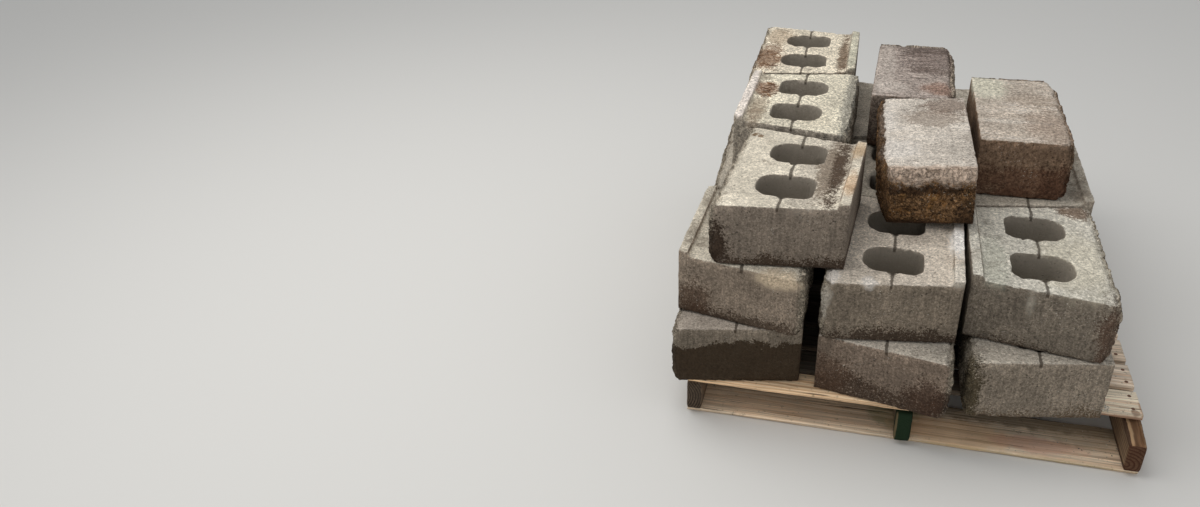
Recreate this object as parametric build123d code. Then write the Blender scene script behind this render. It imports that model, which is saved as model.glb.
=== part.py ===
from build123d import *
import math
import os

# A loaded pallet of dry-cast retaining-wall blocks, stored upside down in three layers.
# Millimetres. +X runs along the pallet's front, +Y away from it and +Z up.

# Wall block: a tapered unit that lies with its plain top down, hollows and rear lip up
face_width = 457.0
rear_width = 346.0
block_depth = 305.0
block_height = 152.0
face_bevel = 14.0
face_foot_radius = 24.0
lip_width = 26.0
lip_height = 12.0

# The two blind hollows, whose corners are rounder towards the face than towards the lip
hollow_length = 128.0
hollow_width = 108.0
hollow_pitch = 180.0
hollow_setback = 152.0
hollow_depth = 108.0
hollow_face_radius = 42.0
hollow_lip_radius = 28.0

# Groove across the block through both hollows
groove_width = 8.0
groove_depth = 11.0

# Corner block: a plain rectangular unit with one split end and one split side, broken between them
corner_length = 457.0
corner_width = 228.0
corner_break_width = 34.0
corner_break_length = 95.0
corner_foot_radius = 20.0

# Pallet
pallet_width = 1016.0
pallet_depth = 1219.0
deck_board_thickness = 16.0
bottom_board_thickness = 14.0
stringer_width = 38.0
stringer_height = 82.0
middle_stringer_lead = 8.0
lead_board_width = 76.0
lead_board_gap = 6.0
lead_board_length = 604.0
lead_board_splinter = 26.0
# Its broken end: share of the board's width, and how far it falls short of the tip in splinters
splinter_outline = [(0, 1), (0.2, 0.5), (0.35, 1.4), (0.55, 0), (0.75, 1), (1, 0.3)]
deck_board_width = 89.0
deck_board_count = 11
bottom_board_width = 140.0
bottom_board_setback = 10.0
tear_length = 74.0
tear_depth = 7.0

# Stack: gaps between its rows and columns, and how far each column reaches past the pallet's edges
row_gap = 7.0
base_overhang = 46.0
base_left_gap = 41.0
base_right_gap = 10.0
base_left_front = -25.0
base_centre_front = -36.0
base_right_front = -12.0
middle_overhang = 30.0
middle_left_gap = 20.0
middle_right_gap = 8.0
middle_left_front = -4.0
middle_left_turned_gap = 15.0
middle_centre_front = -4.0
middle_right_front = 31.0

# Top layer, from right to left: the right corner block's step in from the column below it, the gaps
# to the corner blocks beside it, and the wall blocks' gap to those and their steps to the left
corner_right_step = 18.0
corner_right_front = 500.0
corner_front_gap = 3.0
corner_back_gap = 38.0
corner_column_front = 273.0
corner_row_gap = 25.0
top_column_gap = 43.0
top_middle_step = 24.0
top_back_step = 41.0
top_column_front = 15.0
top_turned_gap = 35.0
seat_clearance = 0.2

# Small turns of the blocks that stand askew, in degrees
base_left_yaw = 1.8
base_centre_yaw = -1.0
base_right_yaw = 0.8
middle_left_yaw = -1.6
middle_turned_yaw = 2.0
middle_centre_yaw = -1.6
top_front_yaw = -3.9
top_middle_yaw = -1.4
corner_front_yaw = 1.4
corner_back_yaw = -1.7

# Sides that a block's split face can point to, as turns from its drawn position
LEFT = 0.0
RIGHT = 180.0

pallet_height = bottom_board_thickness + stringer_height + deck_board_thickness
nested_pitch = (face_width + rear_width) / 2 + row_gap
full_pitch = face_width + row_gap
middle_left = -middle_overhang
middle_centre = middle_left + block_depth + middle_left_gap
middle_right = middle_centre + block_depth + middle_right_gap
corner_right_left = middle_right + corner_right_step
corner_front_left = corner_right_left - corner_front_gap - corner_width
corner_back_left = corner_right_left - corner_back_gap - corner_width
top_front_left = corner_front_left - top_column_gap - block_depth


def block_plan():
    """Outline seen from above, the split face towards -X with its two corners bevelled."""
    front = -block_depth / 2
    rear = block_depth / 2
    taper = (face_width - rear_width) / 2 / block_depth
    half_face = face_width / 2
    side = half_face - taper * face_bevel
    points = [
        (front, -half_face + face_bevel),
        (front + face_bevel, -side),
        (rear, -rear_width / 2),
        (rear, rear_width / 2),
        (front + face_bevel, side),
        (front, half_face - face_bevel),
    ]
    return make_face(Polyline(*points, close=True))


def block_profile(lip):
    """Side view in XZ: the face's rounded foot and, where it has one, the raised rear lip."""
    front = -block_depth / 2
    rear = block_depth / 2
    foot = face_foot_radius
    top = block_height + lip_height if lip else block_height
    ledge = rear - lip_width
    arc_middle = foot * (1 - math.sqrt(0.5))
    with BuildSketch(Plane.XZ) as sketch:
        with BuildLine():
            Line((front + foot, 0), (rear, 0))
            Line((rear, 0), (rear, top))
            Line((rear, top), (ledge, top))
            if lip:
                Line((ledge, top), (ledge, block_height))
            Line((ledge, block_height), (front, block_height))
            Line((front, block_height), (front, foot))
            ThreePointArc((front, foot), (front + arc_middle, arc_middle), (front + foot, 0))
        make_face()
    return sketch.sketch


def hollow(side):
    """One blind hollow; side is -1 for the near one and 1 for the far one."""
    mouth = Rectangle(hollow_length, hollow_width)
    mouth = fillet(mouth.vertices().group_by(Axis.X)[0], hollow_face_radius)
    mouth = fillet(mouth.vertices().group_by(Axis.X)[-1], hollow_lip_radius)
    place = Pos(hollow_setback - block_depth / 2, side * hollow_pitch / 2, block_height)
    return place * extrude(mouth, -hollow_depth)


def groove():
    """V groove across the top, in line with the middle of both hollows.

    The cutter rises as far above the top as it goes below, so it is twice as wide up there.
    """
    left = (-groove_width, groove_depth)
    right = (groove_width, groove_depth)
    outline = Polyline(left, right, (0, -groove_depth), close=True)
    cutter = extrude(Plane.XZ * make_face(outline), face_width / 2, both=True)
    return Pos(hollow_setback - block_depth / 2, 0, block_height) * cutter


def wall_block(lip):
    body = extrude(block_plan(), block_height + lip_height)
    body &= extrude(block_profile(lip), face_width / 2, both=True)
    for side in (-1, 1):
        body -= hollow(side)
    body -= groove()
    return body


def rounded_foot(width, height, radius):
    """Rectangle that starts at its lower left corner, which is rounded."""
    outline = Rectangle(width, height, align=(Align.MIN, Align.MIN))
    corner = outline.vertices().sort_by(lambda v: v.X + v.Y)[0]
    return fillet(corner, radius)


def corner_block():
    """Plain block with its lower left front corner at the origin; split faces left and front."""
    points = [
        (corner_break_width, 0),
        (corner_width, 0),
        (corner_width, corner_length),
        (0, corner_length),
        (0, corner_break_length),
    ]
    body = extrude(make_face(Polyline(*points, close=True)), block_height)
    across = Plane.XZ * rounded_foot(corner_width, block_height, corner_foot_radius)
    along = Plane.YZ * rounded_foot(corner_length, block_height, corner_foot_radius)
    body &= extrude(across, -corner_length)
    body &= extrude(along, corner_width)
    return body


def place_block(shape, left_edge, centre_y, level, face, yaw):
    """Stands a wall block in a column, its face towards the side that face names."""
    x = left_edge + block_depth / 2
    z = pallet_height + level * block_height
    return Pos(x, centre_y, z) * Rot(0, 0, face + yaw) * shape


def column(name, level, front, rows):
    """Blocks from front to back; each row gives its shape, left edge, face, yaw and extra gap.

    Blocks that face opposite ways nest side by side.
    """
    placed = {}
    centre_y = front + face_width / 2
    last_face = None
    for row_name, (shape, left_edge, face, yaw, gap) in zip(("front", "middle", "back"), rows):
        if last_face is not None:
            centre_y += full_pitch if face == last_face else nested_pitch
        centre_y += gap
        last_face = face
        placed[f"{name}_{row_name}"] = place_block(shape, left_edge, centre_y, level, face, yaw)
    return placed


def base_layer(plain):
    """Bottom layer. The second layer sits flat on it, so these blocks have no raised lip."""
    left = -base_overhang
    centre = left + block_depth + base_left_gap
    right = centre + block_depth + base_right_gap
    left_rows = [
        (plain, left, LEFT, base_left_yaw, 0),
        (plain, left, RIGHT, 0, 0),
        (plain, left, LEFT, 0, 0),
    ]
    centre_rows = [
        (plain, centre, RIGHT, base_centre_yaw, 0),
        (plain, centre, LEFT, 0, 0),
        (plain, centre, RIGHT, 0, 0),
    ]
    right_rows = [
        (plain, right, LEFT, base_right_yaw, 0),
        (plain, right, RIGHT, 0, 0),
        (plain, right, LEFT, 0, 0),
    ]
    placed = column("base_left", 0, base_left_front, left_rows)
    placed |= column("base_centre", 0, base_centre_front, centre_rows)
    placed |= column("base_right", 0, base_right_front, right_rows)
    return placed


def middle_layer(lipped, plain):
    """Second layer. Blocks that another lies flat on over their rear edge have no raised lip."""
    left_rows = [
        (lipped, middle_left, RIGHT, middle_left_yaw, 0),
        (plain, middle_left, LEFT, middle_turned_yaw, middle_left_turned_gap),
        (plain, middle_left, RIGHT, 0, 0),
    ]
    centre_rows = [
        (lipped, middle_centre, LEFT, middle_centre_yaw, 0),
        (plain, middle_centre, RIGHT, 0, 0),
        (plain, middle_centre, LEFT, 0, 0),
    ]
    right_rows = [
        (lipped, middle_right, RIGHT, 0, 0),
        (lipped, middle_right, LEFT, 0, 0),
        (plain, middle_right, RIGHT, 0, 0),
    ]
    placed = column("middle_left", 1, middle_left_front, left_rows)
    placed |= column("middle_centre", 1, middle_centre_front, centre_rows)
    placed |= column("middle_right", 1, middle_right_front, right_rows)
    return placed


def top_layer(lipped):
    rows = [
        (lipped, top_front_left, LEFT, top_front_yaw, 0),
        (lipped, top_front_left - top_middle_step, RIGHT, top_middle_yaw, top_turned_gap),
        (lipped, top_front_left - top_back_step, LEFT, 0, 0),
    ]
    return column("top_left", 2, top_column_front, rows)


def lip_under_corner():
    """Where the lip's inner edge on the second layer's centre block passes under the corner block."""
    yaw = math.radians(middle_centre_yaw)
    centre_x = middle_centre + block_depth / 2
    centre_y = middle_centre_front + face_width / 2
    ahead = corner_column_front - centre_y
    return centre_x + (block_depth / 2 - lip_width) / math.cos(yaw) - ahead * math.tan(yaw)


def corner_blocks(corner):
    """Three corner blocks. The front one leans, its right side on the lip of the block below."""
    z = pallet_height + 2 * block_height
    reach = lip_under_corner() - corner_front_left - corner_foot_radius
    leaning = lean_on_foot(corner, math.degrees(math.atan2(lip_height, reach)))
    turned = Pos(corner_width, corner_length, 0) * Rot(0, 0, 180) * corner
    back_y = corner_column_front + corner_length + corner_row_gap
    front = Pos(corner_front_left, corner_column_front, z + seat_clearance)
    return {
        "corner_front": front * Rot(0, 0, corner_front_yaw) * leaning,
        "corner_back": Pos(corner_back_left, back_y, z) * Rot(0, 0, corner_back_yaw) * turned,
        "corner_right": Pos(corner_right_left, corner_right_front, z) * turned,
    }


def lean_on_foot(shape, lean):
    """Turns a corner block about the line where its rounded left foot meets its base."""
    foot = Pos(corner_foot_radius, 0, 0)
    return foot * Rot(0, -lean, 0) * Pos(-corner_foot_radius, 0, 0) * shape


def stringers():
    """Three runners from front to back. The middle one sits forward of the others.

    The right one is torn where its lead board came off.
    """
    placed = {}
    spare = pallet_width - stringer_width
    for i, side in enumerate(("left", "middle", "right")):
        runner = Box(stringer_width, pallet_depth, stringer_height, align=Align.MIN)
        if side == "right":
            top = stringer_height
            tear = Polyline((0, top), (0, top - tear_depth), (tear_length, top), close=True)
            runner -= extrude(Plane.YZ * make_face(tear), stringer_width)
        front = -middle_stringer_lead if side == "middle" else 0
        placed[f"stringer_{side}"] = Pos(spare * i / 2, front, bottom_board_thickness) * runner
    return placed


def lead_board():
    """Front deck board, snapped off past the middle stringer."""
    points = [(0, lead_board_width), (0, 0)]
    for across, short in splinter_outline:
        points.append((lead_board_length - short * lead_board_splinter, across * lead_board_width))
    return extrude(make_face(Polyline(*points, close=True)), deck_board_thickness)


def deck():
    level = bottom_board_thickness + stringer_height
    first = lead_board_width + lead_board_gap
    pitch = (pallet_depth - deck_board_width - first) / (deck_board_count - 1)
    placed = {"deck_lead": Pos(0, 0, level) * lead_board()}
    for i in range(deck_board_count):
        board = Box(pallet_width, deck_board_width, deck_board_thickness, align=Align.MIN)
        placed[f"deck_{i + 1:02d}"] = Pos(0, first + i * pitch, level) * board
    return placed


def bottom_boards():
    """Three boards under the stringers, the outer ones a little in from the stringers' ends."""
    placed = {}
    spare = pallet_depth - bottom_board_width - 2 * bottom_board_setback
    for i, side in enumerate(("front", "middle", "back")):
        board = Box(pallet_width, bottom_board_width, bottom_board_thickness, align=Align.MIN)
        placed[f"bottom_{side}"] = Pos(0, bottom_board_setback + spare * i / 2, 0) * board
    return placed


def pallet_load():
    """Every piece in the pallet's own corner frame."""
    lipped = wall_block(lip=True)
    plain = wall_block(lip=False)
    pieces = stringers() | deck() | bottom_boards()
    pieces |= base_layer(plain) | middle_layer(lipped, plain)
    pieces |= top_layer(lipped) | corner_blocks(corner_block())
    return pieces


def stand_offset(pieces):
    """Move that puts the origin under the middle of the whole load."""
    boxes = [shape.bounding_box() for shape in pieces.values()]
    middle_x = (min(box.min.X for box in boxes) + max(box.max.X for box in boxes)) / 2
    middle_y = (min(box.min.Y for box in boxes) + max(box.max.Y for box in boxes)) / 2
    return Pos(-middle_x, -middle_y, -min(box.min.Z for box in boxes))


def main():
    os.makedirs("parts", exist_ok=True)
    pieces = pallet_load()
    offset = stand_offset(pieces)
    for node, shape in pieces.items():
        export_step(offset * shape, f"parts/{node}.step")


main()
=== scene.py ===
import math

import bmesh
import bpy
from mathutils import Matrix, Vector


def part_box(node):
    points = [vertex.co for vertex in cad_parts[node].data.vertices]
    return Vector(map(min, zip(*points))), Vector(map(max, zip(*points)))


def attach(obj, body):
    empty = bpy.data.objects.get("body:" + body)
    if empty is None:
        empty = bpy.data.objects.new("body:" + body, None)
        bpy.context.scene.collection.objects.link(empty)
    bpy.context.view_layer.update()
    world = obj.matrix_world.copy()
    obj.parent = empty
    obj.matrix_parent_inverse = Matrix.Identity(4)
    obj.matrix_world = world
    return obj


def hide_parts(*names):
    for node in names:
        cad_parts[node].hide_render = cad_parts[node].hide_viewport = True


# A pallet of split-face concrete wall blocks that has stood outdoors, damp and dirty.
# Metres, in the part's own frame: +X to the right along the pallet's front, +Z up.
# Tones are written as they show on screen, from 0 to 255.

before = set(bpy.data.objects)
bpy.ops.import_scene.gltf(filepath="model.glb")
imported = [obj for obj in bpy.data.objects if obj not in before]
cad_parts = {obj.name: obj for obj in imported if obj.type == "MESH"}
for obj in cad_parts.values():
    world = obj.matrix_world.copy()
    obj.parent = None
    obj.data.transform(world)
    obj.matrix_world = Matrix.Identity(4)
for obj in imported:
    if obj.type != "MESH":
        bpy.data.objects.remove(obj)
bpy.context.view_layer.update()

# Wall block, lying with its split face towards -X. Its two hollows reach from their near to
# their far end on each side of the middle along Y, and their half length each way along X.
block_depth = 0.305
block_height = 0.152
block_width = 0.457
lip_width = 0.026
lip_edge = block_depth / 2 - lip_width
hollow_near_end = 0.036
hollow_far_end = 0.144
hollow_half_length = 0.064

# Grid that a piece is rebuilt on, and the share of its triangles that is kept
fine_grid = 0.004
coarse_grid = 0.009
kept_share = 0.4
kept_share_coarse = 0.5
kept_share_timber = 0.3

# Further off than anything on the pallet, for a size that a piece has no use for
far_away = 9.0


# Node helpers


def add(tree, kind, inputs=None, **settings):
    """Adds a node; each input is a value or another node's output."""
    made = tree.nodes.new(kind)
    for name, value in settings.items():
        setattr(made, name, value)
    for key, value in (inputs or {}).items():
        if isinstance(value, bpy.types.NodeSocket):
            tree.links.new(value, made.inputs[key])
        else:
            made.inputs[key].default_value = value
    return made


def joined(kind, inputs, **settings):
    """Adds a node to the tree that its linked inputs come from."""
    sockets = (value for value in inputs.values() if isinstance(value, bpy.types.NodeSocket))
    return add(next(sockets).id_data, kind, inputs, **settings)


def maths(operation, *values):
    return joined("ShaderNodeMath", dict(enumerate(values)), operation=operation).outputs[0]


def plus(*values):
    """Sum of two or more numbers."""
    total = values[0]
    for value in values[1:]:
        total = maths("ADD", total, value)
    return total


def minus(first, second):
    return maths("SUBTRACT", first, second)


def times(*values):
    """Product of two or more numbers."""
    total = values[0]
    for value in values[1:]:
        total = maths("MULTIPLY", total, value)
    return total


def swing(value, reach):
    """Turns a value from 0 to 1 into one that swings round 0, by half of reach each way."""
    return times(minus(value, 0.5), reach)


def vectors(operation, *values):
    """Vector maths; gives the number for a length or distance and the vector otherwise."""
    made = joined("ShaderNodeVectorMath", dict(enumerate(values)), operation=operation)
    return made.outputs["Value" if operation in ("LENGTH", "DISTANCE") else "Vector"]


def scaled(vector, factor):
    inputs = {0: vector, "Scale": factor}
    return joined("ShaderNodeVectorMath", inputs, operation="SCALE").outputs[0]


def eased(value, start, end):
    """0 at start, 1 at end and smooth between them; start may be the larger one."""
    inputs = {"Value": value, "From Min": start, "From Max": end}
    return joined("ShaderNodeMapRange", inputs, interpolation_type="SMOOTHSTEP").outputs[0]


def between(value, low, high):
    """Turns a value from 0 to 1 into one from low to high."""
    inputs = {"Value": value, "To Min": low, "To Max": high}
    return joined("ShaderNodeMapRange", inputs).outputs[0]


def noise(place, scale, detail=2.0, roughness=0.5):
    inputs = {"Vector": place, "Scale": scale, "Detail": detail, "Roughness": roughness}
    return joined("ShaderNodeTexNoise", inputs).outputs[0]


def drawn_noise(place, stretch, detail, roughness=0.5):
    """Noise with a scale of its own along each axis, drawn out where that is low."""
    return noise(vectors("MULTIPLY", place, Vector(stretch)), 1.0, detail, roughness)


def cells(place, scale):
    """Distance to the nearest of many scattered points."""
    return joined("ShaderNodeTexVoronoi", {"Vector": place, "Scale": scale}).outputs["Distance"]


def parts_of(vector):
    return joined("ShaderNodeSeparateXYZ", {0: vector}).outputs


def from_parts(x, y, z):
    return joined("ShaderNodeCombineXYZ", {0: x, 1: y, 2: z}).outputs[0]


# Weathering of a piece's shape. Its outer faces only go inwards, so that no piece outgrows its
# real size; rounding fills hollow corners a little.


def new_shaping(name, sizes):
    """Geometry group with named number inputs, and its geometry and material sockets."""
    tree = bpy.data.node_groups.new(name, "GeometryNodeTree")
    tree.interface.new_socket("Geometry", in_out="INPUT", socket_type="NodeSocketGeometry")
    tree.interface.new_socket("Material", in_out="INPUT", socket_type="NodeSocketMaterial")
    for size in sizes:
        tree.interface.new_socket(size, in_out="INPUT", socket_type="NodeSocketFloat")
    tree.interface.new_socket("Geometry", in_out="OUTPUT", socket_type="NodeSocketGeometry")
    return tree, add(tree, "NodeGroupInput").outputs


def store(geometry, name, value, kind="FLOAT", domain="POINT"):
    """Keeps a value on the mesh's points, or on instances, for the materials to read."""
    inputs = {"Geometry": geometry, "Name": name, "Value": value}
    node = joined("GeometryNodeStoreNamedAttribute", inputs, data_type=kind, domain=domain)
    return node.outputs[0]


def blurred_place(place, steps):
    inputs = {"Value": place, "Iterations": steps}
    return joined("GeometryNodeBlurAttribute", inputs, data_type="FLOAT_VECTOR").outputs[0]


def mixed_places(share, first, second):
    """First place where share is 0, second where it is 1."""
    return joined("ShaderNodeMix", {0: share, 4: first, 5: second}, data_type="VECTOR").outputs[1]


def worn_edges(place, rounded):
    """1 where rounding takes most off, 0 where it takes next to nothing."""
    least, most = 0.0003, 0.0014
    return eased(vectors("DISTANCE", place, rounded), least, most)


def finish_shaping(geometry, material):
    """Every shaping group ends in a plain mesh with its material."""
    real = joined("GeometryNodeRealizeInstances", {"Geometry": geometry}).outputs[0]
    covered = joined("GeometryNodeSetMaterial", {"Geometry": real, "Material": material})
    joined("NodeGroupOutput", {0: covered.outputs[0]})


def moved_to(geometry, place):
    return joined("GeometryNodeSetPosition", {"Geometry": geometry, "Position": place}).outputs[0]


def weathered_concrete():
    """Breaks back the split faces of a block, rounds and chips its edges and dimples the rest.

    The block lies with its split face towards -X, and towards -Y too on a corner block.
    """
    sizes = ["Split X", "Split Y", "Split Depth", "Shoulder Width", "Shoulder Depth"]
    tree, given = new_shaping("weathered_concrete", [*sizes, "Wear", "Grooved", "Seed"])
    place = add(tree, "GeometryNodeInputPosition").outputs[0]
    normal = add(tree, "GeometryNodeInputNormal").outputs[0]
    x, y, z = parts_of(place)
    nx, ny, nz = parts_of(normal)
    shift = from_parts(given["Seed"], times(given["Seed"], 1.7), 0.0)
    spot = vectors("ADD", place, shift)
    inside_x = minus(x, given["Split X"])
    inside_y = minus(y, given["Split Y"])

    def split_towards(inside, direction):
        near = eased(inside, 0.045, 0.030)
        return times(near, eased(direction, -0.35, -0.75))

    split = maths("MAXIMUM", split_towards(inside_x, nx), split_towards(inside_y, ny))
    top = times(eased(nz, 0.35, 0.75), eased(z, 0.13, 0.14))

    # The split face: lumps, sharp creases and grit, with its rim broken furthest back
    chunks = eased(noise(spot, 22, 3), 0.32, 0.70)
    creases = maths("ABSOLUTE", swing(noise(spot, 38, 3, 0.6), 6.0))
    grit = noise(spot, 150, 2, 0.6)
    from_middle = maths("ABSOLUTE", minus(z, block_height / 2))
    rim = eased(from_middle, 0.045, block_height / 2)
    broken = plus(
        times(chunks, 0.45),
        times(maths("MINIMUM", creases, 1.0), 0.45),
        times(grit, 0.30),
        times(rim, 0.45),
    )
    broken = times(broken, given["Split Depth"])
    unbroken_from, broken_within = 0.034, 0.002
    pushed_back = from_parts(
        times(broken, eased(inside_x, unbroken_from, broken_within)),
        times(broken, eased(inside_y, unbroken_from, broken_within)),
        0.0,
    )

    # The faces beside it, where the split took flakes off
    inside = maths("MINIMUM", inside_x, inside_y)
    ragged = plus(inside, swing(noise(spot, 30, 4, 0.65), 0.05))
    flaked = times(eased(ragged, given["Shoulder Width"], -0.002), minus(1.0, split))
    flakes = times(flaked, between(grit, 0.6, 1.4), given["Shoulder Depth"])

    # Chipped mouths where the groove runs into the hollows
    mouth_radius, mouth_depth = 0.014, 0.007
    along = maths("ABSOLUTE", y)
    to_near_end = from_parts(x, minus(along, hollow_near_end), 0.0)
    to_far_end = from_parts(x, minus(along, hollow_far_end), 0.0)
    to_mouth = maths("MINIMUM", vectors("LENGTH", to_near_end), vectors("LENGTH", to_far_end))
    to_mouth = plus(to_mouth, swing(noise(spot, 70, 3), 0.014))
    mouths = times(eased(to_mouth, mouth_radius, 0.002), top, given["Grooved"], mouth_depth)

    broad_depth, fine_depth = 0.0016, 0.0012
    broad, fine = noise(spot, 13), noise(spot, 110, 2, 0.7)
    dimples = plus(times(broad, broad_depth), times(fine, fine_depth))
    depth = plus(flakes, mouths, dimples)
    inwards = scaled(normal, times(depth, -1.0))

    # The groove wanders, and its edges with it
    by_groove = times(
        eased(maths("ABSOLUTE", x), 0.018, 0.009),
        eased(z, 0.132, 0.140),
        given["Grooved"],
    )
    groove_sway = 0.006
    wander = swing(drawn_noise(spot, (0, 24, 0), 3, 0.6), groove_sway)
    shifted = from_parts(times(by_groove, wander), 0.0, 0.0)
    sideways = vectors("ADD", pushed_back, shifted)

    rounded = blurred_place(place, 6)
    chipped = blurred_place(place, 30)
    wear = times(eased(noise(spot, 34, 3), 0.3, 0.62), given["Wear"])
    chips = eased(noise(spot, 19, 4, 0.7), 0.58, 0.66)
    worn_place = mixed_places(wear, place, rounded)
    worn_place = mixed_places(times(chips, given["Wear"]), worn_place, chipped)
    edge = worn_edges(place, rounded)

    hollow = times(
        eased(maths("ABSOLUTE", x), hollow_half_length + 0.006, hollow_half_length + 0.002),
        eased(along, hollow_far_end + 0.005, hollow_far_end + 0.001),
        eased(z, 0.1525, 0.146),
        eased(z, 0.020, 0.030),
        given["Grooved"],
    )

    mesh = store(given["Geometry"], "place", place, "FLOAT_VECTOR")
    mesh = store(mesh, "split", maths("MAXIMUM", split, times(flaked, 0.45)))
    mesh = store(mesh, "edge", edge)
    mesh = store(mesh, "hollow", hollow)
    mesh = store(mesh, "top", top)
    moved = vectors("ADD", vectors("ADD", worn_place, inwards), sideways)
    finish_shaping(moved_to(mesh, moved), given["Material"])
    return tree


def weathered_timber():
    """Raises the grain of a sawn board along X, wears its edges and frays a broken end."""
    sizes = ("Grain Depth", "Wear", "Seed", "Broken End", "Fray", "Torn Length")
    tree, given = new_shaping("weathered_timber", sizes)
    place = add(tree, "GeometryNodeInputPosition").outputs[0]
    normal = add(tree, "GeometryNodeInputNormal").outputs[0]
    x = parts_of(place)["X"]
    nx, _, nz = parts_of(normal)
    shift = from_parts(given["Seed"], times(given["Seed"], 1.3), 0.0)
    spot = vectors("ADD", place, shift)
    fibres = drawn_noise(spot, (2.2, 85, 85), 3, 0.6)
    splinters = drawn_noise(spot, (9, 150, 90), 3, 0.7)

    tear_run_out, tear_depth = 0.012, 0.012
    torn = eased(minus(x, given["Torn Length"]), tear_run_out, 0.0)
    torn = times(torn, eased(nz, 0.3, 0.7))
    depth = plus(times(fibres, given["Grain Depth"]), times(torn, splinters, tear_depth))
    inwards = scaled(normal, times(depth, -1.0))

    frayed = eased(minus(x, given["Broken End"]), -0.05, 0.0)
    back = from_parts(times(frayed, splinters, given["Fray"], -1.0), 0.0, 0.0)

    rounded = blurred_place(place, 4)
    wear = times(eased(noise(spot, 12, 3), 0.3, 0.6), given["Wear"])
    worn_place = mixed_places(wear, place, rounded)
    edge = worn_edges(place, rounded)
    end = eased(maths("ABSOLUTE", nx), 0.5, 0.85)

    mesh = store(given["Geometry"], "place", place, "FLOAT_VECTOR")
    mesh = store(mesh, "edge", edge)
    mesh = store(mesh, "torn", torn)
    mesh = store(mesh, "end", end)
    moved = vectors("ADD", worn_place, vectors("ADD", inwards, back))
    finish_shaping(moved_to(mesh, moved), given["Material"])
    return tree


def strewn(name, thing):
    """Strews small things over a flat ground mesh; thing adds one of them, lying on the ground.

    Each keeps a random shade from 0 to 1.
    """
    sizes = ("Density", "Least Length", "Most Length", "Least Girth", "Most Girth", "Sunk", "Seed")
    tree, given = new_shaping(name, sizes)
    spread = {"Mesh": given["Geometry"], "Density": given["Density"], "Seed": given["Seed"]}
    points = joined("GeometryNodeDistributePointsOnFaces", spread).outputs["Points"]

    def chosen(least, most, number):
        node = add(tree, "FunctionNodeRandomValue", {"Seed": number}, data_type="FLOAT")
        for key, value in (("Min", least), ("Max", most)):
            socket = next(s for s in node.inputs if s.name == key and s.type == "VALUE")
            if isinstance(value, bpy.types.NodeSocket):
                tree.links.new(value, socket)
            else:
                socket.default_value = value
        return next(s for s in node.outputs if s.type == "VALUE")

    length = chosen(given["Least Length"], given["Most Length"], 1)
    girth = chosen(given["Least Girth"], given["Most Girth"], 2)
    most_tilt = 0.15
    tilts = [chosen(-most_tilt, most_tilt, number) for number in (3, 4)]
    turn = from_parts(*tilts, chosen(0.0, 2 * math.pi, 5))
    laid = {"Points": points, "Instance": thing(tree), "Rotation": turn}
    laid["Scale"] = from_parts(length, girth, girth)
    things = joined("GeometryNodeInstanceOnPoints", laid).outputs[0]
    things = store(things, "shade", chosen(0.0, 1.0, 6), domain="INSTANCE")
    down = from_parts(0.0, 0.0, times(given["Sunk"], -1.0))
    moved = {"Instances": things, "Translation": down, "Local Space": False}
    lowered = joined("GeometryNodeTranslateInstances", moved).outputs[0]
    finish_shaping(lowered, given["Material"])
    return tree


def crumb(tree):
    """A stone crumb of about unit size."""
    ball = {"Radius": 0.5, "Subdivisions": 1}
    return add(tree, "GeometryNodeMeshIcoSphere", ball).outputs["Mesh"]


def twig(tree):
    """A thin stick of unit length along X."""
    stick = {"Vertices": 5, "Side Segments": 1, "Radius": 0.5, "Depth": 1.0}
    upright = add(tree, "GeometryNodeMeshCylinder", stick, fill_type="NGON").outputs["Mesh"]
    laid = {"Geometry": upright, "Rotation": (0.0, math.pi / 2, 0.0)}
    return joined("GeometryNodeTransform", laid).outputs[0]


def nail_head(tree):
    """A flat disc of unit width and a third of that thick."""
    disc = {"Vertices": 12, "Side Segments": 1, "Radius": 0.5, "Depth": 0.33}
    return add(tree, "GeometryNodeMeshCylinder", disc, fill_type="NGON").outputs["Mesh"]


def nailed():
    """Puts a nail head on every point of a mesh."""
    tree, given = new_shaping("nailed", ("Width",))
    points = joined("GeometryNodeMeshToPoints", {"Mesh": given["Geometry"]}).outputs[0]
    size = from_parts(given["Width"], given["Width"], given["Width"])
    driven = {"Points": points, "Instance": nail_head(tree), "Scale": size}
    heads = joined("GeometryNodeInstanceOnPoints", driven).outputs[0]
    finish_shaping(heads, given["Material"])
    return tree


# Building a piece in place of its plain solid


def lying_copy(node, turn, lean):
    """Copy of a node's mesh in its own axes, centred on the ground, and its place on the pallet."""
    low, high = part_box(node)
    turned = Matrix.Rotation(math.radians(turn), 4, "Z")
    leant = turned @ Matrix.Rotation(math.radians(lean), 4, "Y")
    place = Matrix.Translation((low + high) / 2) @ leant
    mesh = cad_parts[node].data.copy()
    form = bmesh.new()
    form.from_mesh(mesh)
    bmesh.ops.remove_doubles(form, verts=form.verts, dist=1e-6)
    form.to_mesh(mesh)
    form.free()
    mesh.transform(place.inverted())
    corners = [vertex.co for vertex in mesh.vertices]
    least = Vector(min(corner[i] for corner in corners) for i in range(3))
    most = Vector(max(corner[i] for corner in corners) for i in range(3))
    ground = Vector(((least.x + most.x) / 2, (least.y + most.y) / 2, least.z))
    mesh.transform(Matrix.Translation(-ground))
    return mesh, place @ Matrix.Translation(ground), (most - least) / 2


def set_inputs(modifier, values):
    """Sets a shaping modifier's inputs by their names in its group."""
    sockets = modifier.node_group.interface.items_tree
    keys = {item.name: item.identifier for item in sockets if item.in_out == "INPUT"}
    for name, value in values.items():
        modifier[keys[name]] = value


def evaluated_mesh(draft):
    """The draft's mesh with its modifiers worked in; the draft itself is removed."""
    graph = bpy.context.evaluated_depsgraph_get()
    evaluated = draft.evaluated_get(graph)
    mesh = bpy.data.meshes.new_from_object(
        evaluated, preserve_all_data_layers=True, depsgraph=graph
    )
    bpy.data.objects.remove(draft)
    return mesh


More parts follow.
